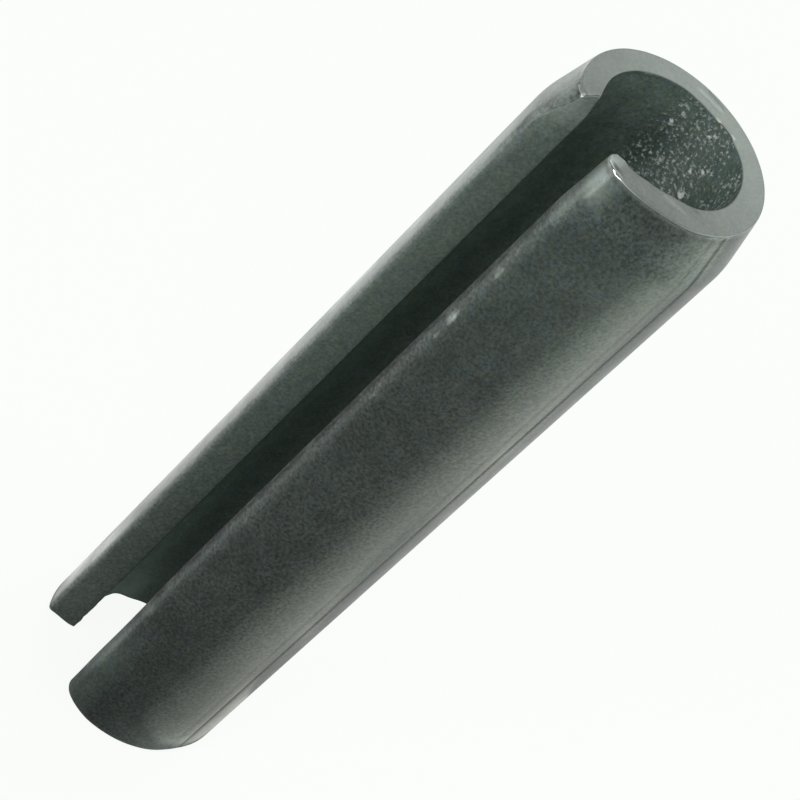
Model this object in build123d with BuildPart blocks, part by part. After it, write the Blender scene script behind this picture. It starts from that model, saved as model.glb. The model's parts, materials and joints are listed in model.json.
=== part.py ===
"""A slotted spring pin of 8 mm nominal size: a strip of spring steel rolled into an open tube.

The pin stands on its plain end, with the tapered end up. Its axis is +Z, the origin is the middle of the
bottom end, and the slot faces -Y. All lengths are in millimetres.
"""

from build123d import *
from math import asin, atan, cos, degrees, radians, sin
import os

# The rolled strip
pin_length = 36.0
outside_diameter = 8.5  # free in the hand; the pin is squeezed to 8 mm in its hole
strip_thickness = 1.5
slot_width = 3.1  # across the mouth of the slot, before its edges are rounded
straight_edge = 1.0  # strip beside the slot that the rolls leave straight on the inside

# The strip is slit from one side, which rolls over one of its outer edges and leaves the other crisp.
rolled_over_radius = strip_thickness / 2

# The taper of the leading end; the other end is cut off square
taper_length = 2.25
taper_depth = 0.45
shoulder_radius = 4.0  # blends the taper into the body

edge_break = 0.15  # radius that tumbling leaves on every sharp edge

outer_radius = outside_diameter / 2
bore_radius = outer_radius - strip_thickness
end_face_radius = outer_radius - taper_depth

# Angles about the axis, counted from the middle of the slot
slot_middle = -90
slot_half_angle = degrees(asin(slot_width / 2 / outer_radius))
straight_angle = degrees(atan(straight_edge / bore_radius))
bore_half_angle = slot_half_angle + straight_angle


def around_axis(radius, angle):
    """The point at this radius, this many degrees from the middle of the slot."""
    turned = radians(slot_middle + angle)
    return (radius * cos(turned), radius * sin(turned))


# The four corners of the section at the slot. The inner ones stand where the straight inside ends.
inner_corner_radius = bore_radius / cos(radians(straight_angle))
rolled_over_corner = around_axis(outer_radius, slot_half_angle)
crisp_corner = around_axis(outer_radius, -slot_half_angle)
inner_corners = [around_axis(inner_corner_radius, side * slot_half_angle) for side in (1, -1)]

with BuildPart() as spring_pin:
    # The section of the rolled strip. The outside is truly round, the slot's two faces are radial, and
    # the bore runs out straight towards them.
    with BuildSketch() as rolled_strip:
        with BuildLine():
            outside = CenterArc(
                (0, 0), outer_radius, slot_middle + slot_half_angle, 360 - 2 * slot_half_angle
            )
            bore = CenterArc(
                (0, 0), bore_radius, slot_middle + bore_half_angle, 360 - 2 * bore_half_angle
            )
            Polyline(bore @ 0, inner_corners[0], rolled_over_corner)
            Polyline(bore @ 1, inner_corners[1], crisp_corner)
        make_face()
        corners = rolled_strip.vertices().sort_by_distance(rolled_over_corner)
        fillet(corners[0], radius=rolled_over_radius)
    extrude(amount=pin_length)

    # The leading end is tapered, to start the pin in its hole. The strip keeps what lies inside this
    # turned outline.
    with BuildSketch(Plane.XZ):
        with BuildLine():
            flank = FilletPolyline(
                (outer_radius, 0),
                (outer_radius, pin_length - taper_length),
                (end_face_radius, pin_length),
                radius=shoulder_radius,
            )
            Polyline(flank @ 1, (0, pin_length), (0, 0), flank @ 0)
        make_face()
    revolve(axis=Axis.Z, mode=Mode.INTERSECT)

    # Tumbling breaks every edge of the two end faces, and the three edges of the slot that slitting
    # left sharp.
    levels = spring_pin.edges().group_by(Axis.Z)
    slot_edges = [
        spring_pin.edges().sort_by_distance((*corner, pin_length / 2))[0]
        for corner in (crisp_corner, *inner_corners)
    ]
    fillet(levels[0] + levels[-1] + slot_edges, radius=edge_break)

spring_pin.part.label = "spring_pin"
os.makedirs("parts", exist_ok=True)
export_step(spring_pin.part, "parts/spring_pin.step")
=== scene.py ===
"""A slotted spring pin of 8 mm nominal size, dressed for its portrait.

The pin is one strip of spring steel, rolled into an open tube. It stands on its plain end, with the
taper up, the axis on +Z and the slot towards -Y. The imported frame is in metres; shapes are modelled in
millimetres and scaled last.
"""

import json
from math import asin, atan, atan2, cos, degrees, hypot, pi, radians, sin, sqrt, tan

import bmesh
import bpy
from mathutils import Matrix, Vector, noise
from mathutils.geometry import intersect_point_line


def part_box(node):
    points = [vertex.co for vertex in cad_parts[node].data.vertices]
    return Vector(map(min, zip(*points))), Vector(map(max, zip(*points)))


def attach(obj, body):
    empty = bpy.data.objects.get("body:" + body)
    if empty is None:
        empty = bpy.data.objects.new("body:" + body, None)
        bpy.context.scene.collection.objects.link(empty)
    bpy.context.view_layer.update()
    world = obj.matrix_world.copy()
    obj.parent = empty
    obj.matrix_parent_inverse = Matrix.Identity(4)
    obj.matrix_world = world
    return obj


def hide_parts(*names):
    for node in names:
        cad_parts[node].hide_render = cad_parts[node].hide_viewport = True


bl_info = {
    "name": "Slotted spring pin",
    "version": (1, 0, 0),
    "blender": (4, 5, 0),
    "location": "3D View > Sidebar > Spring pin",
    "description": "Models a slotted spring pin with its oil-quenched finish, and a plain stage for it",
    "category": "Object",
}

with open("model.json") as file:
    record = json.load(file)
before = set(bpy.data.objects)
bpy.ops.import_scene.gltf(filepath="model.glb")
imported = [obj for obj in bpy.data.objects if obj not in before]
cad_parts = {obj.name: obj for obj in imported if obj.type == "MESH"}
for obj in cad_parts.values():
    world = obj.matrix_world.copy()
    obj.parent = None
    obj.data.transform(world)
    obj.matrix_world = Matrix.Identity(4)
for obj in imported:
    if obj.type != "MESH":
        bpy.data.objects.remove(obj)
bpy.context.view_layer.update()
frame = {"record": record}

MM = 0.001
NODE = "spring_pin"
SLOT_MIDDLE = -90.0  # degrees about the axis, from +X

mounts = {mount["name"]: mount["dims"] for mount in frame["record"]["mounts"] if mount["dims"]}
frame_outside_diameter = 2 * mounts["shank"]["r_mm"] * MM
frame_strip_thickness = (mounts["shank"]["r_mm"] - mounts["bore"]["r_mm"]) * MM
frame_pin_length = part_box(NODE)[1].z


def length_property(name, description, default):
    return bpy.props.FloatProperty(
        name=name, description=description, default=default, min=0.0, precision=5, unit="LENGTH"
    )


def colour_property(name, description, hex_colour):
    return bpy.props.FloatVectorProperty(
        name=name,
        description=description,
        default=linear(hex_colour),
        size=3,
        min=0.0,
        max=1.0,
        subtype="COLOR",
    )


def linear(hex_colour):
    """An sRGB hex colour as the three linear values that shaders take."""
    shares = [int(hex_colour[i : i + 2], 16) / 255 for i in (0, 2, 4)]
    return tuple(s / 12.92 if s <= 0.04045 else ((s + 0.055) / 1.055) ** 2.4 for s in shares)


class SpringPinSizes(bpy.types.PropertyGroup):
    """The sizes of the pin."""

    pin_length: length_property("Length", "From end to end", frame_pin_length)
    outside_diameter: length_property(
        "Outside diameter", "Free, before it is driven in", frame_outside_diameter
    )
    strip_thickness: length_property("Strip thickness", "The wall of the tube", frame_strip_thickness)
    slot_width: length_property("Slot width", "Across the mouth of the slot", 3.1 * MM)
    straight_edge: length_property(
        "Straight edge", "Strip beside the slot that isn't curved inside", 0.8 * MM
    )
    rolled_over_radius: length_property(
        "Rolled-over edge", "Radius of the slot's rounder outer edge", 0.75 * MM
    )
    taper_length: length_property("Taper length", "Length of the leading end's taper", 2.25 * MM)
    taper_depth: length_property("Taper depth", "How much the taper takes off the radius", 0.45 * MM)
    shoulder_radius: length_property("Shoulder radius", "Blends the taper into the body", 4.0 * MM)
    edge_break: length_property("Edge break", "Radius that tumbling leaves on sharp edges", 0.06 * MM)
    corner_radius: length_property(
        "Soft corner", "Radius at the leading end of the slot's crisp side", 0.12 * MM
    )
    crisp_radius: length_property("Crisp edge", "Radius of the slot's other outer edge", 0.2 * MM)
    corner_roll: length_property(
        "Corner roll", "The same at the leading end, where the taper presses it", 0.6 * MM
    )
    corner_closure: length_property(
        "Corner closure", "How far pressing the taper closes that corner", 0.46 * MM
    )


class SpringPinFinish(bpy.types.PropertyGroup):
    """The colours of the steel."""

    skin: colour_property("Skin", "The dark skin that quenching in oil leaves", "28302d")
    skin_light: colour_property("Light skin", "Where the skin is thin", "323a37")
    slit: colour_property("Slit edge", "The slot's two faces, where the strip was slit", "5a6860")
    slit_dark: colour_property("Dark slit edge", "Where oil has darkened them", "515d57")
    bore: colour_property("Bore", "The inside, with scale that tumbling doesn't reach", "4f5f58")
    bore_light: colour_property("Light bore", "Where the scale is thin", "5c6c65")
    end_face: colour_property("End face", "The cut and tumbled ends", "929c97")
    bare: colour_property("Bare steel", "Steel where the skin is rubbed off", "a9b0ab")
    # Near white, lighter than bare steel: flaked scale, and painted sparkle.
    fleck_and_sparkle: colour_property("Fleck", "Where the bore's scale has flaked off", "dbe1dd")


def node(tree, kind, inputs=None, **settings):
    """Adds a node, with its settings and with its inputs set or linked."""
    new = tree.nodes.new(kind)
    for name, value in settings.items():
        setattr(new, name, value)
    for name, value in (inputs or {}).items():
        if isinstance(value, bpy.types.NodeSocket):
            tree.links.new(value, new.inputs[name])
        else:
            new.inputs[name].default_value = value
    return new


def new_material(name):
    material = bpy.data.materials.new(name)
    material.use_nodes = True
    material.node_tree.nodes.clear()
    return material, material.node_tree


class Wall:
    """The pin's sizes in millimetres, and where its wall is."""

    def __init__(self, sizes):
        for name in sizes.__annotations__:
            setattr(self, name, getattr(sizes, name) / MM)
        self.outer_radius = self.outside_diameter / 2
        self.bore_radius = self.outer_radius - self.strip_thickness
        self.slot_half_angle = degrees(asin(self.slot_width / 2 / self.outer_radius))
        self.straight_angle = degrees(atan(self.straight_edge / self.bore_radius))
        slope = atan(self.taper_depth / self.taper_length)
        tangent = self.shoulder_radius * tan(slope / 2)
        self.shoulder_bottom = self.pin_length - self.taper_length - tangent
        self.shoulder_top = self.pin_length - self.taper_length + tangent * cos(slope)
        self.slope = slope

    def turned_radius(self, z):
        """The outside radius at height z, with the taper and the arc of its shoulder."""
        if z <= self.shoulder_bottom:
            return self.outer_radius
        if z <= self.shoulder_top:
            up = z - self.shoulder_bottom
            return self.outer_radius - (self.shoulder_radius - sqrt(self.shoulder_radius**2 - up**2))
        return self.outer_radius - self.taper_depth + (self.pin_length - z) * tan(self.slope)

    def bore_radius_at(self, from_slot):
        """The inside radius, this many degrees from the slot's middle. It runs out straight at the slot."""
        short = max(0.0, self.slot_half_angle + self.straight_angle - abs(from_slot))
        return self.bore_radius / cos(radians(short))


def ramp(value, low, high):
    """0 below low, 1 above high, and smooth between them. low may be the larger."""
    share = min(1.0, max(0.0, (value - low) / (high - low)))
    return share * share * (3 - 2 * share)


def from_slot_middle(co):
    """The angle about the axis from the middle of the slot, from -180 to 180 degrees."""
    return (degrees(atan2(co.y, co.x)) - SLOT_MIDDLE + 180) % 360 - 180


def bump(value, middle, half_width):
    """1 at the middle, and smoothly 0 at half_width from it."""
    return 1 - ramp(abs(value - middle), 0, half_width)


def waves(angle, table):
    """The sum of smooth waves round the axis: middle and half width in degrees, and height."""
    return sum(
        height * bump((angle - middle + 180) % 360 - 180, 0, half_width)
        for middle, half_width, height in table
    )


ROLLED_COLUMN = 12.5  # degrees of wall left whole beside the slot, for the rolled-over edge
CRISP_COLUMN = 1.5  # the same at the crisp edge
COLUMN = 2.0  # degrees, in the rest of the wall
SHOULDER_ROWS = 4
TAPER_ROWS = 24
BODY_ROW = 0.25  # mm
FINE_ROW = 0.09  # mm, above FINE_FROM
FINE_FROM = 28.0  # mm, the height above which the bore shows
ACROSS_ROWS = 13  # across the end faces and the crisp slot face


def turned(bm, edge, angle, steps):
    """Spins the wall's radial edge about the axis, and returns the edge that it ends on."""
    spun = bmesh.ops.spin(
        bm,
        geom=[*edge.verts, edge],
        cent=(0, 0, 0),
        axis=(0, 0, 1),
        dvec=(0, 0, 0),
        angle=radians(angle),
        steps=steps,
        use_merge=False,
        use_normal_flip=False,
        use_duplicate=False,
    )
    return next(item for item in spun["geom_last"] if isinstance(item, bmesh.types.BMEdge))


def raised(bm, faces, z, wall):
    """Extrudes the section's faces up to height z, and gives the outside its radius there."""
    grown = bmesh.ops.extrude_face_region(bm, geom=faces)["geom"]
    if faces[0].verts[0].co.z > 0:
        bmesh.ops.delete(bm, geom=faces, context="FACES")
    verts = [item for item in grown if isinstance(item, bmesh.types.BMVert)]
    now = verts[0].co.z
    bmesh.ops.translate(bm, verts=verts, vec=(0, 0, z - now))
    outside = [v for v in verts if hypot(v.co.x, v.co.y) > wall.bore_radius + wall.strip_thickness / 2]
    share = wall.turned_radius(z) / hypot(outside[0].co.x, outside[0].co.y)
    bmesh.ops.scale(bm, verts=outside, vec=(share, share, 1))
    return [item for item in grown if isinstance(item, bmesh.types.BMFace)]


def rounded(bm, edges, radius, segments):
    bmesh.ops.bevel(
        bm,
        geom=edges,
        offset=radius,
        offset_type="OFFSET",
        segments=segments,
        profile=0.5,
        affect="EDGES",
        clamp_overlap=False,
        material=-1,
    )


def model_wall(bm, wall):
    # The section of the strip: a radial edge spun about the axis, with a wide column at each slot edge.
    start = SLOT_MIDDLE + wall.slot_half_angle
    place = Matrix.Rotation(radians(start), 3, "Z")
    ends = [bm.verts.new(place @ Vector((r, 0, 0))) for r in (wall.bore_radius, wall.outer_radius)]
    edge = bm.edges.new(ends)
    fine = 360 - 2 * wall.slot_half_angle - ROLLED_COLUMN - CRISP_COLUMN
    edge = turned(bm, edge, ROLLED_COLUMN, 1)
    edge = turned(bm, edge, fine, round(fine / COLUMN))
    turned(bm, edge, CRISP_COLUMN, 1)
    for v in bm.verts:
        if hypot(v.co.x, v.co.y) < wall.bore_radius * 1.01:
            share = wall.bore_radius_at(from_slot_middle(v.co)) / wall.bore_radius
            v.co.xy *= share

    # Up the length, and round the shoulder to the end of the taper.
    section = list(bm.faces)
    levels = [FINE_FROM, wall.shoulder_bottom]
    for top, rows in ((wall.shoulder_top, SHOULDER_ROWS), (wall.pin_length, TAPER_ROWS)):
        bottom = levels[-1]
        levels += [bottom + (top - bottom) * i / rows for i in range(1, rows + 1)]
    for z in levels:
        section = raised(bm, section, z, wall)
    bmesh.ops.recalc_face_normals(bm, faces=bm.faces)

    # The slot's rolled-over outer edge, then the small break on every other edge.
    rolled = [
        e
        for e in bm.edges
        if all(abs(from_slot_middle(v.co) - wall.slot_half_angle) < 0.01 for v in e.verts)
        and all(hypot(v.co.x, v.co.y) > wall.bore_radius + wall.strip_thickness / 2 for v in e.verts)
    ]
    rounded(bm, rolled, wall.rolled_over_radius, 10)
    sharp = [e for e in bm.edges if e.is_manifold and e.calc_face_angle() > radians(50)]
    rounded(bm, sharp, wall.edge_break, 3)

    # The end faces beside the rolled-over edge, cut into strips at each of its corners.
    for z in (0, wall.pin_length):
        tip = [f for f in bm.faces if len(f.verts) > 8 and abs(f.calc_center_median().z - z) < 1e-4]
        corners = sorted((from_slot_middle(v.co), v.co.copy()) for f in tip for v in f.verts)
        for angle, place in corners:
            if not wall.slot_half_angle + 0.1 < angle < wall.slot_half_angle + ROLLED_COLUMN - 0.1:
                continue
            tip = [f for f in tip if f.is_valid]
            cut = bmesh.ops.bisect_plane(
                bm,
                geom=[*tip, *{e for f in tip for e in f.edges}, *{v for f in tip for v in f.verts}],
                plane_co=(0, 0, 0),
                plane_no=Vector((-place.y, place.x, 0)).normalized(),
                dist=1e-5,
            )
            tip = [item for item in cut["geom"] if isinstance(item, bmesh.types.BMFace)]

    # Closer rows up the body, and across the end faces and the crisp slot face, for the uneven skin.
    for spacing, low, high in ((BODY_ROW, 0.0, FINE_FROM), (FINE_ROW, FINE_FROM, wall.shoulder_bottom)):
        tall = [
            e
            for e in bm.edges
            if abs(e.verts[0].co.z - e.verts[1].co.z) > 5
            and low - 0.01 <= min(v.co.z for v in e.verts)
            and max(v.co.z for v in e.verts) <= high + 0.01
        ]
        bmesh.ops.subdivide_edges(bm, edges=tall, cuts=round((high - low) / spacing), use_grid_fill=True)
    across = []
    for e in bm.edges:
        first, last = (v.co for v in e.verts)
        at_end = min(first.z, wall.pin_length - first.z) < 1e-4
        shortest = wall.strip_thickness * (0.14 if at_end else 0.4)
        long_enough = abs(hypot(*first.xy) - hypot(*last.xy)) > shortest
        if abs(first.z - last.z) < 1e-4 and long_enough and (at_end or from_slot_middle(first) < 0):
            across.append(e)
    bmesh.ops.subdivide_edges(bm, edges=across, cuts=ACROSS_ROWS - 1, use_grid_fill=True)


def pulled_in(co, radius):
    """Where the point co, counted in from a square corner's two sides, goes as the corner is rounded."""
    out = Vector((radius - co[0], radius - co[1]))
    if out.x <= 0 or out.y <= 0:
        return co
    out *= max(out.x, out.y) / out.length
    return radius - out.x, radius - out.y


def pushed_out(co, radius):
    """Undoes pulled_in."""
    out = Vector((radius - co[0], radius - co[1]))
    if out.x <= 0 or out.y <= 0:
        return co
    out *= out.length / max(out.x, out.y)
    return radius - out.x, radius - out.y


POINT_RADIUS = 0.22  # mm, at the very point of the crisp side's leading corner
POINT_REACH = 0.9  # mm from the point to where that radius has faded out
ROLL_REACH = (6, 0.5)  # mm below the top, where the crisp edge starts to roll over and where it is done
CLOSURE_SPREAD = 22  # degrees of wall that closing the corner bends
CORNER_DIP = 0.14  # mm, at the bore side of the rolled-over side's leading corner


def press_corners(bm, wall):
    """Closes the crisp side's leading corner over the slot, and rounds it.

    The rolled-over side's leading corner dips a little. Distances behind the slot's face and under the
    outside are those of a square corner, and pulled_in and pushed_out change them for the rounded one.
    """
    for v in bm.verts:
        angle = from_slot_middle(v.co)
        z = v.co.z
        if abs(angle) > 90:
            continue
        from_axis = hypot(*v.co.xy)
        if angle > 0:
            dip = CORNER_DIP * ramp(from_axis, wall.bore_radius + 0.75, wall.bore_radius + 0.15)
            dip *= bump(angle, wall.slot_half_angle, 9) * ramp(z, wall.pin_length - 1, wall.pin_length)
            v.co.z -= dip
            continue
        behind = from_axis * sin(radians(-angle - wall.slot_half_angle))
        under = wall.turned_radius(z) - from_axis
        rolled = ramp(wall.pin_length - z, *ROLL_REACH)
        roll = wall.crisp_radius + (wall.corner_roll - wall.crisp_radius) * rolled
        closure = ramp(z, wall.shoulder_bottom, wall.pin_length)
        closure *= bump(angle, -wall.slot_half_angle, CLOSURE_SPREAD)
        closure *= ramp(from_axis, wall.bore_radius_at(angle), wall.turned_radius(z))
        behind, under = pushed_out((behind, under), wall.edge_break)
        layer = min(behind, under)  # how deep the point lies under the nearer of the two sides
        end_radius = wall.edge_break + (wall.corner_radius - wall.edge_break) * ramp(behind, roll + 0.3, 0)
        end_radius += (POINT_RADIUS - wall.corner_radius) * bump(hypot(behind, under), 0, POINT_REACH)
        new_layer, down = pulled_in(pushed_out((layer, wall.pin_length - z), wall.edge_break), end_radius)
        if max(behind, under) < roll:
            share = (roll - new_layer) / (roll - layer)
            behind, under = roll - (roll - behind) * share, roll - (roll - under) * share
        elif behind < under:
            behind = new_layer
        else:
            under = new_layer
        behind, under = pulled_in((behind, under), roll)
        from_axis = wall.turned_radius(z) - under
        if abs(angle) < 60:
            angle = -wall.slot_half_angle - degrees(asin(behind / from_axis))
        angle += degrees(wall.corner_closure / from_axis) * closure
        place = Matrix.Rotation(radians(SLOT_MIDDLE + angle), 3, "Z")
        v.co = place @ Vector((from_axis, 0, wall.pin_length - down))


MOUTH_DEPTH = 1.2  # mm, how far down the bore its mouth is uneven
# How far the mouth stands out: degrees from the slot's middle, half width, and millimetres
MOUTH_WAVES = (
    (-32, 40, 0.15),
    (-70, 40, 0.10),
    (184, 48, 0.15),
    (35, 15, 0.17),
    (70, 26, -0.12),
    (-115, 40, 0.09),
)
RIM_WAVE = (62, 24, -0.06)  # the same for the outside of the leading face


def uneven_bore_mouth(bm, wall):
    """The mouth of the bore isn't quite round, nor is the rim beside the slot's rolled-over edge."""
    for v in bm.verts:
        depth = wall.pin_length - v.co.z
        from_axis = hypot(*v.co.xy)
        if depth > MOUTH_DEPTH:
            continue
        angle = from_slot_middle(v.co)
        fade = ramp(depth, MOUTH_DEPTH, 0.1)
        rim = waves(angle, [RIM_WAVE]) * ramp(from_axis, wall.bore_radius + 0.5, wall.bore_radius + 1.0)
        mouth = waves(angle, MOUTH_WAVES) * ramp(from_axis, wall.bore_radius + 0.9, wall.bore_radius)
        v.co.xy *= (1 + rim * fade / from_axis) * (1 + mouth * fade / from_axis)


FACE_BAND = 0.4  # mm below the leading face, where its marks and its grinding end
GROUND_OFF = 0.03  # mm
# Scratches on the leading face: first and last degree from the slot's middle, radius, half width and height
SCRATCHES = (
    (22, 39, 3.75, 0.08, 0.07),
    (22, 39, 3.60, 0.08, -0.05),
    (22, 41, 3.93, 0.08, -0.05),
    (-147, -127, 3.30, 0.07, -0.03),
    (-167, -151, 2.88, 0.06, 0.05),
    (52, 92, 3.05, 0.10, -0.02),
    (40, 75, 3.45, 0.10, -0.02),
)


def scratch_face(bm, wall):
    """Scratches and a burr on the leading face, which is also ground down a little."""
    bm.normal_update()
    moves = []
    for v in bm.verts:
        if v.co.z < wall.pin_length - FACE_BAND:
            continue
        angle, from_axis = from_slot_middle(v.co), hypot(*v.co.xy)
        height = 0.0
        for first, last, radius, half_width, rise in SCRATCHES:
            along = ramp(angle, first, first + 3) * ramp(angle, last, last - 3)
            height += rise * along * bump(from_axis, radius, 2 * half_width) * ramp(v.normal.z, 0.5, 0.9)
        ground = GROUND_OFF * ramp(v.co.z, wall.pin_length - FACE_BAND, wall.pin_length - 0.1)
        moves.append((v, v.normal * height - Vector((0, 0, ground))))
    for v, move in moves:
        v.co += move
        v.co.z = min(v.co.z, wall.pin_length)


# Bare facets worn on the leading end's edge: azimuth and elevation that they face, degrees from the
# slot's middle and radius of a point near, and depth
FACETS = (
    (-59, 45, -17, 3.60, 0.038),
    (-59.5, 45, 30.5, 3.78, 0.06),
)
FACET_REACH = 0.7  # mm from that point


def wear_facets(bm, wall):
    """Wears each facet flat, by planing off what stands above it near its point."""
    for azimuth, elevation, angle, radius, depth in FACETS:
        normal = Vector((0, 0, 1))
        normal.rotate(Matrix.Rotation(radians(90 - elevation), 3, "Y"))
        normal.rotate(Matrix.Rotation(radians(azimuth), 3, "Z"))
        place = Matrix.Rotation(radians(SLOT_MIDDLE + angle), 3, "Z") @ Vector((radius, 0, wall.pin_length))
        near = [v for v in bm.verts if (v.co - place).length < FACET_REACH]
        level = max(v.co.dot(normal) for v in near) - depth
        for v in near:
            v.co -= normal * max(0.0, v.co.dot(normal) - level)


FOOT_REACH = 2.0  # mm above the plain end, where its unevenness ends
FOOT_RISE = 0.12  # mm
# How much more or less the cut of the plain end rises: degrees from the slot's middle, half width, and
# millimetres
FOOT_WAVES = ((-25, 45, -0.12), (22, 26, 0.25), (104, 20, 0.12), (-72, 26, 0.38))
OUTER_FOOT_WAVE = (-25, 40, 0.3)  # the same on the outside alone
TEAR = (-25, 14, 0.12)  # the same for how far the slot's crisp edge is torn, on the bore side
TEAR_GRAIN = 0.22  # mm


def uneven_far_end(bm, wall):
    """The plain end is cut a little out of square, and the slot's crisp edge is torn there."""
    for v in bm.verts:
        if v.co.z > FOOT_REACH:
            continue
        angle, from_axis = from_slot_middle(v.co), hypot(*v.co.xy)
        outside = ramp(from_axis, wall.bore_radius + 0.2, wall.outer_radius)
        inside = ramp(from_axis, wall.bore_radius + 0.5, wall.bore_radius)
        rise = FOOT_RISE + waves(angle, FOOT_WAVES) + waves(angle, [OUTER_FOOT_WAVE]) * outside
        fade = 1 - v.co.z / FOOT_REACH
        v.co.z += rise * fade
        v.co.x += waves(angle, [TEAR]) * inside * fade * noise.noise(v.co / TEAR_GRAIN)


# Degrees that each side of the slot stands open at the plain end
ROLLED_SIDE_OPENING = 1.35
CRISP_SIDE_OPENING = 1.8


def open_slot(bm):
    """Opens the slot a little towards the plain end."""
    for v in bm.verts:
        angle = from_slot_middle(v.co)
        if angle > 0:
            turn = ROLLED_SIDE_OPENING * (ramp(v.co.z, 10, 4) + 0.4 * ramp(v.co.z, 3, 0.5))
        else:
            turn = -CRISP_SIDE_OPENING * ramp(v.co.z, 5, 1)
        turn *= ramp(abs(angle), 75, 25)
        v.co = Matrix.Rotation(radians(turn), 3, "Z") @ v.co


SKIN, SLIT, BORE, END = range(4)


def sort_surfaces(bm, wall):
    """Gives each face the material of its surface."""
    bm.normal_update()
    for face in bm.faces:
        face.smooth = True
        middle = face.calc_center_median()
        outward = Vector((middle.x, middle.y, 0)).normalized()
        along = outward.cross((0, 0, 1))
        angle = from_slot_middle(middle)
        beside_slot = abs(angle) < wall.slot_half_angle + 3
        roll = angle > 0 and hypot(*middle.xy) > wall.outer_radius - wall.rolled_over_radius + 0.05
        inside = face.normal.dot(outward) < 0
        if abs(face.normal.z) > (0.6 if inside else 0.35):
            face.material_index = END
        elif beside_slot and not roll and abs(face.normal.dot(along)) > (0.3 if inside else 0.7):
            face.material_index = SLIT
        elif inside:
            face.material_index = BORE
        else:
            face.material_index = SKIN


# Lines along the pin, where the strip was drawn: degrees from the slot's middle, depth in millimetres and
# share of lightness lost. Each lies on a column of the mesh.
DRAWN_LINES = ((105.97, 0.03, 0.85), (97.97, 0.012, 0.25))
DEPTH, DARKENING = 1, 2


def in_line(angle, effect):
    """A drawn line's DEPTH or DARKENING, this many degrees from the slot's middle."""
    return sum(line[effect] * max(0.0, 1 - abs(angle - line[0]) / (COLUMN / 2)) for line in DRAWN_LINES)


def burr_radius(angle):
    """The radius at which the burr of the rolled-over side's leading corner runs."""
    return 3.76 - 0.0025 * max(0.0, 33 - angle) ** 2


GLINT = Vector((-1.05, -3.45, 35.92))  # the bare point of the crisp side's leading corner

# Worn bands of the skin, whose bare steel also stands in for painted highlights on the rolled-over edge
# towards both ends and round the plain end's foot: degrees from the slot's middle, half width, heights where
# the band begins and is full, share of bare steel, how uneven that is, and over how many millimetres
WORN_AND_HIGHLIGHT_BANDS = (
    (98, 46, 2.6, 0.4, 0.22, 0.5, 0.6),
    (27, 9, 10, 2, 0.16, 0.0, 1.0),
    (32, 9, 30, 34, 0.104, 1.25, 0.5),
    (30, 11, 34.3, 35.5, 0.2, 0.0, 1.0),
)

# Rubbed spots on the slot's outer edges: degrees from the slot's middle, height, half length, and share of
# bare steel
RUBBED_SPOTS = (
    (32.0, 35.3, 0.9, 0.35),
    (30.0, 30.1, 0.35, 0.4),
    (29.5, 27.4, 0.45, 0.6),
    (30.0, 26.4, 0.3, 0.3),
    (30.0, 22.5, 0.3, 0.15),
    (30.0, 14.0, 0.3, 0.12),
    (30.0, 7.0, 0.35, 0.25),
)
SPOT_HALF_WIDTH = 0.14  # mm

# Larger flecks in the bore, partly flaked scale and partly painted sparkle: degrees from the slot's middle,
# height, half width and share of bare steel
BORE_FLECKS_AND_SPARKLE = (
    (-170.0, 33.1, 0.11, 1.3),
    (-170.0, 34.4, 0.08, 1.2),
    (-153.4, 35.3, 0.07, 1.0),
    (-162.2, 33.9, 0.06, 0.9),
    (-126.6, 34.7, 0.08, 0.8),
    (-175.7, 34.7, 0.08, 0.7),
)


def face_rubbing(co, angle, kinds, wall):
    # The burr, the glint, and the edge beside the slot's crisp side.
    if co.z < wall.pin_length - 1:
        return 0.0
    burr = 0.9 * bump(hypot(*co.xy), burr_radius(angle), 0.2) * ramp(angle, 22, 24) * ramp(angle, 39, 35)
    at_skin = 0.25 * bump(angle, -30, 50) if SKIN in kinds else 0.0
    return max(burr, 0.7 * bump((co - GLINT).length, 0, 0.3), at_skin)


def skin_wear_and_highlight(co, angle, wall):
    z = co.z
    on_taper = ramp(z, wall.pin_length - 3.0, wall.pin_length - 1.4)
    at_edge = 1 - ramp(abs(abs(angle) - wall.slot_half_angle - 3), 0, 8)
    at_face = ramp(z, wall.pin_length - 0.22, wall.pin_length - 0.12)
    # Both slot edges, the taper, the leading edge but for its burr, and the body's crisp edge.
    wear = 0.12 * at_edge * (0.8 + noise.noise(co / 0.9))
    wear += (0.1 + 0.08 * bump(angle, 125, 75)) * on_taper * (1.0 + 0.3 * noise.noise(co / 0.6))
    wear += 0.25 * at_face * (1 - bump(angle, 31, 10))
    crisp_edge = 0.2 * (1 - on_taper) * bump(angle, -wall.slot_half_angle, 5)
    wear += crisp_edge * (0.8 + 0.6 * noise.noise(co / 1.6))
    for middle, half_width, begins, full, share, unevenness, patch in WORN_AND_HIGHLIGHT_BANDS:
        band = share * bump(angle, middle, half_width) * ramp(z, begins, full)
        wear += band * (1 + unevenness * noise.noise(co / patch))
    for middle, height, half_length, share in RUBBED_SPOTS:
        across = radians(angle - middle) * wall.outer_radius / SPOT_HALF_WIDTH
        reach = across**2 + ((z - height) / half_length) ** 2
        wear += share * max(0.0, 1 - reach) * (0.9 + noise.noise(co / 0.15))
    return max(0.0, wear)


def bore_flaking_and_sparkle(co, angle, wall):
    # Fine flaking on the side opposite the slot, near the mouth, partly painted light where a lamp falls into
    # it, and the larger flecks, partly painted sparkle.
    wear = 0.5 * ramp(co.z, 28, 31) * (1 - ramp(abs(abs(angle) - 148), 22, 40))
    for middle, height, half_width, share in BORE_FLECKS_AND_SPARKLE:
        across = radians(angle - middle) * wall.bore_radius
        wear += share * bump(hypot(across, co.z - height), 0, 2 * half_width)
    return wear


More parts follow.
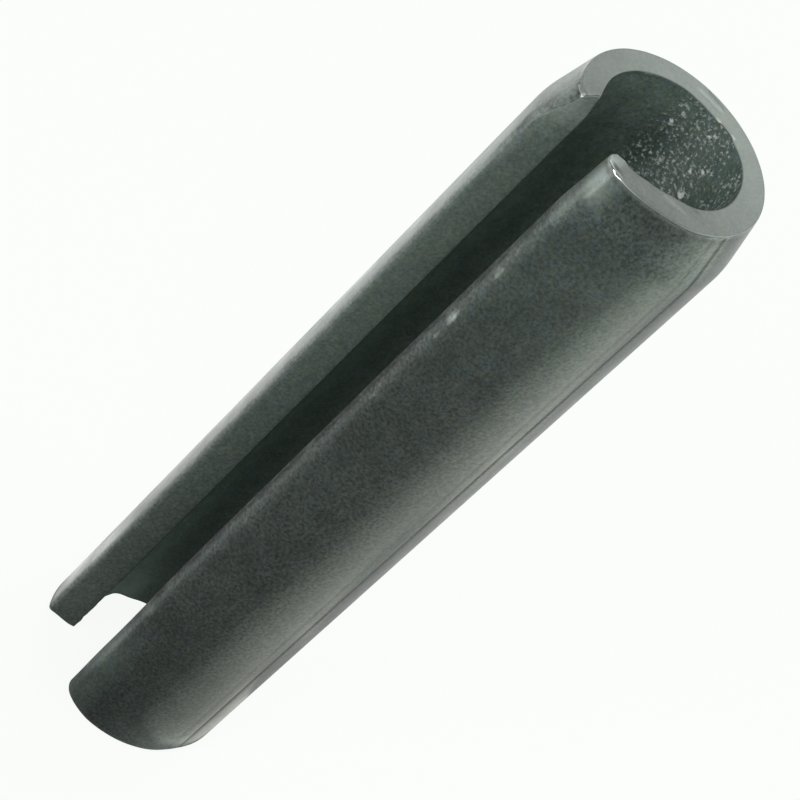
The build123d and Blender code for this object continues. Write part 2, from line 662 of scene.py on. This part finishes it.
def wear_and_highlight(co, angle, kinds, wall):
    """How far the skin is worn off at a point, from 0 to about 1, where wear also stands in for some painted
    highlights.
    """
    if END in kinds:
        return face_rubbing(co, angle, kinds, wall)
    if SKIN in kinds:
        return skin_wear_and_highlight(co, angle, wall)
    if SLIT in kinds:
        return 0.35 * ramp(co.z, wall.pin_length - 2.6, wall.pin_length - 0.8) if angle < 0 else 0.0
    return bore_flaking_and_sparkle(co, angle, wall)


# Marks on the leading face, partly scratches and partly painted: the dark line from -165 to -152 degrees is
# painted shade along the raised ridge at the bore's mouth, and the bright spots at -150.5 and -164.5 degrees
# are painted glints. The degrees from the slot's middle and the radius of both ends, half width, and change
# of lightness
FACE_MARKS_AND_GLINTS = (
    (-145, 3.39, -128, 3.39, 0.07, 0.3),
    (-145, 3.55, -132, 3.67, 0.05, -0.3),
    (-165, 2.93, -152, 2.78, 0.05, -0.35),
    (-150.5, 2.86, -149.5, 2.86, 0.06, 0.9),
    (-164.5, 3.02, -163.5, 3.02, 0.06, 0.9),
    (64, 2.86, 80, 3.16, 0.07, 0.2),
    (78, 2.60, 90.5, 2.94, 0.06, -0.2),
)

# Painted light, where a surface is lit lighter: degrees from the slot's middle, half width, heights where the
# patch begins and is full, and lightness gained
SKIN_PAINTED_LIGHT = (
    (90, 46, 3.2, 0.2, 1.6),
    (32, 14, 34.0, 35.4, 2.6),
    (31, 18, 7, 3, 1.6),
    (106, 18, 32.8, 34.0, 0.9),
)
BORE_PAINTED_LIGHT = (
    (-62, 42, 33, 29, 1.0),
    (-62, 42, 12, 4, 1.3),
    (-88, 22, 4, 1, 1.2),
)

# Painted shade, where it is darker: degrees from the slot's middle, half width, height, half height, and
# share of lightness lost
SKIN_PAINTED_SHADE = (
    (-28, 14, 34.2, 1.3, 0.3),
    (66, 26, 13, 9, 0.35),
)
BORE_PAINTED_SHADE = ((-124, 34, 33.4, 1.9, 0.45),)


def patched(light, angle, z, light_patches, dark_patches):
    """The lightness that a surface's patches of painted light and shade make of its plain one."""
    for middle, half_width, begins, full, gain in light_patches:
        light += gain * bump(angle, middle, half_width) * ramp(z, begins, full)
    for middle, half_width, height, half_height, loss in dark_patches:
        light *= 1 - loss * bump(angle, middle, half_width) * bump(z, height, half_height)
    return light


def on_face(angle, radius):
    """The place (x, y), this many degrees from the slot's middle."""
    return Vector((radius * sin(radians(angle)), -radius * cos(radians(angle))))


def marked(place):
    """How much lighter or darker the FACE_MARKS_AND_GLINTS make the leading face at a place (x, y)."""
    change = 0.0
    for first, first_radius, last, last_radius, half_width, amount in FACE_MARKS_AND_GLINTS:
        ends = (on_face(first, first_radius), on_face(last, last_radius))
        share = intersect_point_line(place, *ends)[1]
        nearest = ends[0].lerp(ends[1], min(1.0, max(0.0, share)))
        change += amount * bump((place - nearest).length, 0, 2 * half_width)
    return change


def face_lightness(co, normal, angle, kinds):
    if co.z < FOOT_REACH:
        return 1.0
    from_axis = hypot(*co.xy)
    # Painted shade in the groove inside the burr, a painted highlight on the broken outer edge, and painted
    # shade on the bore's mouth.
    shade_inside_burr = bump(from_axis, burr_radius(angle) - 0.2, 0.1) * bump(angle, 30.5, 4)
    edge = ramp(normal.z, 0.95, 0.8) * ramp(from_axis, 3.0, 3.5) * ramp(abs(angle + 60), 30, 60)
    edge *= 1 - 0.7 * bump(angle, 63, 30)
    edge = max(edge, 0.7 * ramp(normal.z, 0.998, 0.93) * bump(angle, -40, 45))
    mouth = ramp(normal.z, 0.95, 0.7) * ramp(from_axis, 3.1, 2.9) * bump(angle, -112, 40)
    # Painted light on the face itself: lit lightest at -150 degrees, with a painted highlight beside the
    # rolled-over edge.
    light = 0.70 + 0.2 * cos(radians(angle + 150)) + 0.7 * bump(angle, 25, 9)
    light *= (1 - 0.8 * shade_inside_burr) * (1 + edge) * (1 - 0.5 * mouth)
    # Where the face's edge meets the skin beside the slot's crisp side, a painted highlight along it.
    if SKIN in kinds:
        light = max(light, 1.5 * bump(angle, -30, 50))
    return max(0.1, light + marked(co.xy))


def lightness(co, normal, angle, kinds, wall):
    """How much lighter or darker than its colour the steel is at a point: mostly painted light and shade, and
    some marks.
    """
    z = co.z
    if END in kinds:
        return face_lightness(co, normal, angle, kinds)
    if SLIT in kinds:
        # Painted shade, darker towards the plain end, and a painted highlight where the slot's face breaks
        # into the bore.
        return (1.6 if BORE in kinds else 1.0) - 0.4 * ramp(z, 30, 2)
    if BORE in kinds:
        return patched(1.0, angle, z, BORE_PAINTED_LIGHT, BORE_PAINTED_SHADE)
    # Painted light and shade: the skin is lighter towards the taper, darker towards the plain end, and has
    # painted shade under the burr.
    plain = 1 + 0.6 * ramp(z, 22, 34) - 0.15 * ramp(z, 14, 0)
    shade_under_burr = bump(z, wall.pin_length - 0.2, 0.15) * ramp(angle, 22, 25) * ramp(angle, 39, 35)
    return patched(plain, angle, z, SKIN_PAINTED_LIGHT, SKIN_PAINTED_SHADE) * (1 - 0.9 * shade_under_burr)


# Depth of the hollows in the steel and distance across them, in millimetres
ROLLED_HOLLOWS = (0.006, 2.5)  # everywhere
TUMBLED_HOLLOWS = (0.008, 0.5)  # on the end faces
# Height of the bore's pebbles and distance across them
PEBBLES = ((0.03, 0.35), (0.02, 0.8))


def hollow(co, depth, across):
    """The depth at a point of hollows that are this deep at most."""
    return depth * (0.5 + 0.5 * noise.noise(co / across))


def weather(bm, wall):
    """Roughens the surfaces, and writes where the steel is worn or painted with highlights, where it is
    sheltered, and its painted light and shade.
    """
    bm.normal_update()
    worn_and_highlit = bm.verts.layers.float.new("worn_and_highlit")
    sheltered = bm.verts.layers.float.new("sheltered")
    painted_light_and_tone = bm.verts.layers.float.new("painted_light_and_tone")
    moves = []
    for v in bm.verts:
        kinds = {face.material_index for face in v.link_faces}
        angle = from_slot_middle(v.co)
        v[worn_and_highlit] = wear_and_highlight(v.co, angle, kinds, wall)
        v[painted_light_and_tone] = lightness(v.co, v.normal, angle, kinds, wall)
        if v.co.x > 0 and SKIN in kinds:
            # The rolled-over edge turns in under the slot's mouth, where tumbling doesn't reach, so it is
            # duller; its darkening there is painted shade.
            v[sheltered] = ramp(v.normal.x, 0.2, -0.25)
            v[painted_light_and_tone] -= 0.4 * v[sheltered]
        depth = hollow(v.co, *ROLLED_HOLLOWS)
        if kinds == {SKIN}:
            v[sheltered] += in_line(angle, DARKENING)
            v[painted_light_and_tone] *= 1 - in_line(angle, DARKENING)
            depth += in_line(angle, DEPTH)
        if kinds == {BORE}:
            depth -= sum(height * noise.noise(v.co / across) for height, across in PEBBLES)
        if END in kinds:
            depth += hollow(v.co, *TUMBLED_HOLLOWS)
        moves.append((v, v.normal * -depth))
    for v, move in moves:
        v.co += move


class SPRINGPIN_OT_body(bpy.types.Operator):
    """Model the slotted tube of spring steel"""

    bl_idname = "spring_pin.body"
    bl_label = "Make the pin"

    def execute(self, context):
        wall = Wall(context.scene.spring_pin_sizes)
        finish = context.scene.spring_pin_finish
        bm = bmesh.new()
        model_wall(bm, wall)
        press_corners(bm, wall)
        uneven_bore_mouth(bm, wall)
        scratch_face(bm, wall)
        wear_facets(bm, wall)
        uneven_far_end(bm, wall)
        open_slot(bm)
        sort_surfaces(bm, wall)
        weather(bm, wall)
        bmesh.ops.scale(bm, verts=bm.verts, vec=(MM, MM, MM))
        mesh = bpy.data.meshes.new("rolled_strip")
        bm.to_mesh(mesh)
        bm.free()
        pin = bpy.data.objects.new("rolled_strip", mesh)
        context.scene.collection.objects.link(pin)
        for material in surfaces(finish):
            mesh.materials.append(material)
        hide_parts(NODE)
        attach(pin, "root")
        return {"FINISHED"}


DRAW_LINE = 0.12  # mm between the lines that drawing the strip leaves along it
DRAW_STRETCH = 0.03  # how much slower they change along the pin than across it
TEMPER_PATCH = 0.35  # mm across the faint olive and blue patches of the tempered skin
OLIVE_TINT = (1.12, 1.0, 0.84, 1)
BLUE_TINT = (0.9, 1.0, 1.12, 1)
ROUGHNESS_SPREAD = 0.05  # between the blotches and the steel around them
SHELTERED_ROUGHNESS = 0.4  # more than elsewhere, where tumbling doesn't reach
# How far the grain breaks up what is worn, and how worn the steel is where it begins to be bare and
# where it is all bare
FLAKING = (3.0, 0.62, 1.3)
RUBBING = (0.2, 0.08, 0.95)


def steel(
    name, bare, colours, metallic, roughness, blotch, grain, relief, lines, dapple, hue, polish, flakes
):
    """A steel surface: colour in blotches, a grain in colour and relief, and bare steel where it is worn or
    painted with a highlight.

    metallic is the pair for the skin and for the bare steel. blotch and grain are sizes in millimetres, and
    relief and lines are heights in millimetres. dapple is how much the grain changes the colour, hue how
    far it strays to olive and blue, and polish how much smoother the worn parts are. With flakes, the
    worn parts are flecks of the grain's size, and not smooth.

    The real grain and draw lines are under 0.05 mm, too fine to show, so both are drawn two or three times
    as coarse.
    """
    material, tree = new_material(name)
    place = node(tree, "ShaderNodeTexCoord").outputs["Object"]
    place = node(tree, "ShaderNodeVectorMath", {0: place, "Scale": 1 / MM}, operation="SCALE").outputs[0]
    blotches = node(
        tree,
        "ShaderNodeTexNoise",
        {"Vector": place, "Scale": 1 / blotch, "Detail": 4.0, "Roughness": 0.6},
    ).outputs["Fac"]
    speckle = node(
        tree,
        "ShaderNodeTexNoise",
        {"Vector": place, "Scale": 1 / grain, "Detail": 3.0, "Roughness": 0.65},
    ).outputs["Fac"]
    hues = node(
        tree,
        "ShaderNodeTexNoise",
        {"Vector": place, "Scale": 1 / TEMPER_PATCH, "Detail": 3.0, "Roughness": 0.7},
    ).outputs["Fac"]
    long_place = node(
        tree, "ShaderNodeVectorMath", {0: place, 1: (1, 1, DRAW_STRETCH)}, operation="MULTIPLY"
    ).outputs[0]
    draw_lines = node(
        tree,
        "ShaderNodeTexNoise",
        {"Vector": long_place, "Scale": 1 / DRAW_LINE, "Detail": 2.0, "Roughness": 0.5},
    ).outputs["Fac"]

    share = node(
        tree, "ShaderNodeMapRange", {"Value": blotches, "From Min": 0.35, "From Max": 0.65}
    ).outputs[0]
    colour = node(
        tree, "ShaderNodeMix", {0: share, 6: (*colours[0], 1), 7: (*colours[1], 1)}, data_type="RGBA"
    ).outputs[2]
    share = node(
        tree,
        "ShaderNodeMapRange",
        {"Value": hues, "From Min": 0.35, "From Max": 0.65, "To Min": 0.5 - hue / 2, "To Max": 0.5 + hue / 2},
    ).outputs[0]
    tint = node(tree, "ShaderNodeMix", {0: share, 6: OLIVE_TINT, 7: BLUE_TINT}, data_type="RGBA").outputs[2]
    colour = node(tree, "ShaderNodeVectorMath", {0: colour, 1: tint}, operation="MULTIPLY").outputs[0]
    light = node(
        tree,
        "ShaderNodeMapRange",
        {"Value": speckle, "From Min": 0.3, "From Max": 0.7, "To Min": -dapple, "To Max": dapple},
    ).outputs[0]
    # The painted light and shade written on the mesh, with a few marks
    painted_light_and_tone = node(tree, "ShaderNodeAttribute", attribute_name="painted_light_and_tone").outputs["Fac"]
    light = node(tree, "ShaderNodeMath", {0: painted_light_and_tone, 1: light}, operation="ADD").outputs[0]
    colour = node(tree, "ShaderNodeVectorMath", {0: colour, "Scale": light}, operation="SCALE").outputs[0]

    worn_and_highlit = node(tree, "ShaderNodeAttribute", attribute_name="worn_and_highlit").outputs["Fac"]
    breakup, low, high = FLAKING if flakes else RUBBING
    patchy = node(
        tree, "ShaderNodeMath", {0: speckle, 1: breakup, 2: -breakup / 2}, operation="MULTIPLY_ADD"
    ).outputs[0]
    # Worn bare steel, which also stands in for some painted highlights and the bore's painted sparkle
    worn = node(tree, "ShaderNodeMath", {0: worn_and_highlit, 1: patchy}, operation="ADD").outputs[0]
    worn = node(tree, "ShaderNodeMapRange", {"Value": worn, "From Min": low, "From Max": high}).outputs[0]
    colour = node(tree, "ShaderNodeMix", {0: worn, 6: colour, 7: (*bare, 1)}, data_type="RGBA").outputs[2]

    gloss = node(
        tree,
        "ShaderNodeMapRange",
        {
            "Value": blotches,
            "From Min": 0.3,
            "From Max": 0.7,
            "To Min": roughness - ROUGHNESS_SPREAD,
            "To Max": roughness + ROUGHNESS_SPREAD,
        },
    ).outputs[0]
    sheltered = node(tree, "ShaderNodeAttribute", attribute_name="sheltered").outputs["Fac"]
    gloss = node(
        tree,
        "ShaderNodeMath",
        {0: sheltered, 1: SHELTERED_ROUGHNESS, 2: gloss},
        operation="MULTIPLY_ADD",
    ).outputs[0]
    gloss = node(
        tree, "ShaderNodeMath", {0: worn_and_highlit, 1: -polish, 2: gloss}, operation="MULTIPLY_ADD"
    ).outputs[0]
    metal = node(
        tree, "ShaderNodeMapRange", {"Value": worn, "To Min": metallic[0], "To Max": metallic[1]}
    ).outputs[0]
    height = node(tree, "ShaderNodeMath", {0: speckle, 1: relief}, operation="MULTIPLY").outputs[0]
    height = node(
        tree, "ShaderNodeMath", {0: draw_lines, 1: lines, 2: height}, operation="MULTIPLY_ADD"
    ).outputs[0]
    relief_bump = node(tree, "ShaderNodeBump", {"Height": height, "Distance": MM, "Strength": 1.0})
    shader = node(
        tree,
        "ShaderNodeBsdfPrincipled",
        {"Base Color": colour, "Metallic": metal, "Roughness": gloss, "Normal": relief_bump.outputs[0]},
    )
    node(tree, "ShaderNodeOutputMaterial", {"Surface": shader.outputs["BSDF"]})
    return material


def surfaces(finish):
    """The steel's surfaces, in the order of SKIN, SLIT, BORE and END."""
    return (
        # The outside: oil-quenched and tumbled. The skin is nearly black, with a satin sheen, faint draw
        # lines and a mottling that is coarser here than a real one, so that it shows.
        steel(
            "oil_quenched_spring_steel",
            bare=finish.bare,
            colours=(finish.skin, finish.skin_light),
            metallic=(0.6, 0.8),
            roughness=0.33,
            blotch=1.3,
            grain=0.13,
            relief=0.006,
            lines=0.001,
            dapple=0.78,
            hue=0.8,
            polish=0.12,
            flakes=False,
        ),
        # The slot's faces: slit with the strip, so duller and a little lighter.
        steel(
            "slit_spring_steel",
            bare=finish.bare,
            colours=(finish.slit, finish.slit_dark),
            metallic=(0.0, 0.0),
            roughness=0.5,
            blotch=0.5,
            grain=0.13,
            relief=0.006,
            lines=0.0,
            dapple=0.35,
            hue=0.5,
            polish=0.1,
            flakes=False,
        ),
        # The bore: scale that tumbling doesn't reach, dull and pebbled, and flaking near the mouth, with
        # near-white flecks that are partly painted sparkle.
        steel(
            "scaled_spring_steel",
            bare=finish.fleck_and_sparkle,
            colours=(finish.bore, finish.bore_light),
            metallic=(0.0, 0.0),
            roughness=0.65,
            blotch=0.5,
            grain=0.14,
            relief=0.05,
            lines=0.0,
            dapple=0.3,
            hue=0.8,
            polish=0.6,
            flakes=True,
        ),
        # The end faces: cut, then tumbled until they are satin and light.
        steel(
            "tumbled_end_steel",
            bare=finish.bare,
            colours=(finish.end_face, finish.end_face),
            metallic=(0.35, 0.9),
            roughness=0.5,
            blotch=0.9,
            grain=0.1,
            relief=0.002,
            lines=0.0,
            dapple=0.09,
            hue=0.2,
            polish=0.4,
            flakes=False,
        ),
    )


# The camera, fitted to the pin's outline
CAMERA_PLACE = Vector((54.35, -61.52, 89.17)) * MM
CAMERA_AIM = Vector((-0.076, -0.068, 19.740)) * MM
CAMERA_ROLL = 46.175  # degrees
LENS = 133.07  # mm
SENSOR = 36.0  # mm

SKY = 0.3  # radiance of the studio's white walls
LIGHTS_AIM = Vector((0, 0, 18))  # mm, the middle of the pin
# Name, azimuth and elevation in degrees, distance and size in millimetres, radiance and colour
SOFTBOXES = (
    ("slot_light", -70, 45, 95, 25, 12.0, "ffffff"),
    ("back_light", 132, 48, 200, 160, 1.75, "ffffff"),
    ("side_light", 55, 35, 180, 110, 1.4, "ffffff"),
    ("front_light", -41, 40, 150, 50, 3.5, "ffffff"),
)
# Name and colour, then azimuth and spread in degrees and radiance in each ring
FLOOR_PANELS = (
    ("right_panel", "fcfff0", ((28, 58, 0.8), (32, 48, 1.25), (46, 42, 1.62), (46, 42, 1.45))),
    ("left_panel", "fafffa", ((196, 42, 0.85), (176, 38, 0.95), (178, 36, 0.97), (178, 36, 0.95))),
    ("front_panel", "ffffff", ((-124, 76, 0.95), (-122, 80, 0.85), (-122, 80, 1.1), (-118, 74, 1.3))),
)
PANEL_RINGS = ((4.35, 10), (10, 24), (24, 62), (62, 130))  # mm from the axis
PANEL_LIFT = 0.2  # mm above the floor
# Where the painted shadow round the pin's foot, seen only in the steel, is darkest and where it has gone
DIM_FLOOR, WHITE_FLOOR = 5, 26  # mm from the axis
GLOW_SHARE = 0.9  # of the paper's white, and the rest is lit, so it takes the pin's shadow


class SPRINGPIN_OT_stage(bpy.types.Operator):
    """Make the floor, the lights and the camera"""

    bl_idname = "spring_pin.stage"
    bl_label = "Make the stage"

    def execute(self, context):
        scene = context.scene
        floor = self.make_floor()
        scene.collection.objects.link(floor)
        self.make_world(scene)
        self.make_lights(scene)
        self.make_camera(scene)
        scene.view_settings.view_transform = "Standard"
        return {"FINISHED"}

    def make_floor(self):
        bm = bmesh.new()
        bmesh.ops.create_grid(bm, x_segments=1, y_segments=1, size=2.0)
        mesh = bpy.data.meshes.new("floor")
        bm.to_mesh(mesh)
        bm.free()
        material, tree = new_material("white_paper")
        path = node(tree, "ShaderNodeLightPath")
        place = node(tree, "ShaderNodeTexCoord").outputs["Object"]
        away = node(tree, "ShaderNodeVectorMath", {0: place}, operation="LENGTH").outputs["Value"]
        # Painted shadow: mirrored in the steel, the paper is dim beside the pin and white further off.
        mirrored_floor_shadow = node(
            tree,
            "ShaderNodeMapRange",
            {"Value": away, "From Min": DIM_FLOOR * MM, "From Max": WHITE_FLOOR * MM, "To Min": 0.15},
            interpolation_type="SMOOTHSTEP",
        )
        mirrored = node(
            tree,
            "ShaderNodeMath",
            {0: path.outputs["Is Glossy Ray"], 1: mirrored_floor_shadow.outputs[0]},
            operation="MULTIPLY",
        )
        seen = node(
            tree,
            "ShaderNodeMath",
            {0: path.outputs["Is Camera Ray"], 1: mirrored.outputs[0]},
            operation="MAXIMUM",
        )
        seen = node(
            tree,
            "ShaderNodeMath",
            {0: seen.outputs[0], 1: path.outputs["Is Transmission Ray"]},
            operation="MAXIMUM",
        )
        share = node(tree, "ShaderNodeMath", {0: seen.outputs[0], 1: GLOW_SHARE}, operation="MULTIPLY")
        paper = node(tree, "ShaderNodeBsdfDiffuse", {"Color": (0.8, 0.8, 0.8, 1)})
        glow = node(tree, "ShaderNodeEmission", {"Color": (0.965, 0.99, 0.965, 1), "Strength": 1.04})
        mix = node(
            tree, "ShaderNodeMixShader", {0: share.outputs[0], 1: paper.outputs[0], 2: glow.outputs[0]}
        )
        node(tree, "ShaderNodeOutputMaterial", {"Surface": mix.outputs[0]})
        mesh.materials.append(material)
        return bpy.data.objects.new("floor", mesh)

    def make_world(self, scene):
        world = bpy.data.worlds.new("studio")
        scene.world = world
        world.use_nodes = True
        tree = world.node_tree
        tree.nodes.clear()
        sky = node(tree, "ShaderNodeBackground", {"Color": (1, 1, 1, 1), "Strength": SKY})
        node(tree, "ShaderNodeOutputWorld", {"Surface": sky.outputs[0]})

    def make_lights(self, scene):
        for name, azimuth, elevation, distance, size, radiance, colour in SOFTBOXES:
            out = Vector((1, 0, 0))
            out.rotate(Matrix.Rotation(-radians(elevation), 3, "Y"))
            out.rotate(Matrix.Rotation(radians(azimuth), 3, "Z"))
            place = (out * distance + LIGHTS_AIM) * MM
            turn = out.to_track_quat("Z", "Y")
            self.make_softbox(scene, name, place, turn, (size, size), radiance, colour)
        for name, colour, rings in FLOOR_PANELS:
            # A fan of panels over the floor, turned over so that they face up
            for (near, far), (azimuth, spread, radiance) in zip(PANEL_RINGS, rings):
                turn = Matrix.Rotation(radians(azimuth), 3, "Z") @ Matrix.Rotation(pi, 3, "X")
                middle = (near + far) / 2
                place = turn @ Vector((middle, 0, -PANEL_LIFT)) * MM
                size = (far - near, 2 * middle * tan(radians(spread / 2)))
                self.make_softbox(
                    scene, f"{name}_{near:g}", place, turn.to_quaternion(), size, radiance, colour
                )

    def make_softbox(self, scene, name, place, turn, size, radiance, colour):
        data = bpy.data.lights.new(name, "AREA")
        data.shape = "RECTANGLE"
        data.size, data.size_y = size[0] * MM, size[1] * MM
        data.energy = radiance * pi * data.size * data.size_y
        data.color = linear(colour)
        lamp = bpy.data.objects.new(name, data)
        lamp.location = place
        lamp.rotation_mode = "QUATERNION"
        lamp.rotation_quaternion = turn
        lamp.visible_camera = False
        scene.collection.objects.link(lamp)

    def make_camera(self, scene):
        data = bpy.data.cameras.new("camera")
        data.lens = LENS
        data.sensor_width = SENSOR
        data.clip_start = 5 * MM
        camera = bpy.data.objects.new("camera", data)
        back = (CAMERA_PLACE - CAMERA_AIM).normalized()
        right = Vector((0, 0, 1)).cross(back).normalized()
        turn = Matrix.Rotation(radians(CAMERA_ROLL), 3, back)
        right = turn @ right
        up = back.cross(right)
        camera.matrix_world = Matrix.LocRotScale(
            CAMERA_PLACE, Matrix((right, up, back)).transposed(), None
        )
        scene.collection.objects.link(camera)
        scene.camera = camera


class SPRINGPIN_PT_panel(bpy.types.Panel):
    """The pin's sizes, colours and parts"""

    bl_idname = "SPRINGPIN_PT_panel"
    bl_label = "Spring pin"
    bl_space_type = "VIEW_3D"
    bl_region_type = "UI"
    bl_category = "Spring pin"

    def draw(self, context):
        for group in (context.scene.spring_pin_sizes, context.scene.spring_pin_finish):
            for name in group.__annotations__:
                self.layout.prop(group, name)
        for operator in OPERATORS:
            self.layout.operator(operator.bl_idname)


GROUPS = (SpringPinSizes, SpringPinFinish)
OPERATORS = (SPRINGPIN_OT_body, SPRINGPIN_OT_stage)


def register():
    for cls in (*GROUPS, *OPERATORS, SPRINGPIN_PT_panel):
        bpy.utils.register_class(cls)
    bpy.types.Scene.spring_pin_sizes = bpy.props.PointerProperty(type=SpringPinSizes)
    bpy.types.Scene.spring_pin_finish = bpy.props.PointerProperty(type=SpringPinFinish)


def unregister():
    del bpy.types.Scene.spring_pin_finish
    del bpy.types.Scene.spring_pin_sizes
    for cls in reversed((*GROUPS, *OPERATORS, SPRINGPIN_PT_panel)):
        bpy.utils.unregister_class(cls)


def main():
    register()
    bpy.ops.spring_pin.body()
    bpy.ops.spring_pin.stage()


if __name__ == "__main__":
    main()
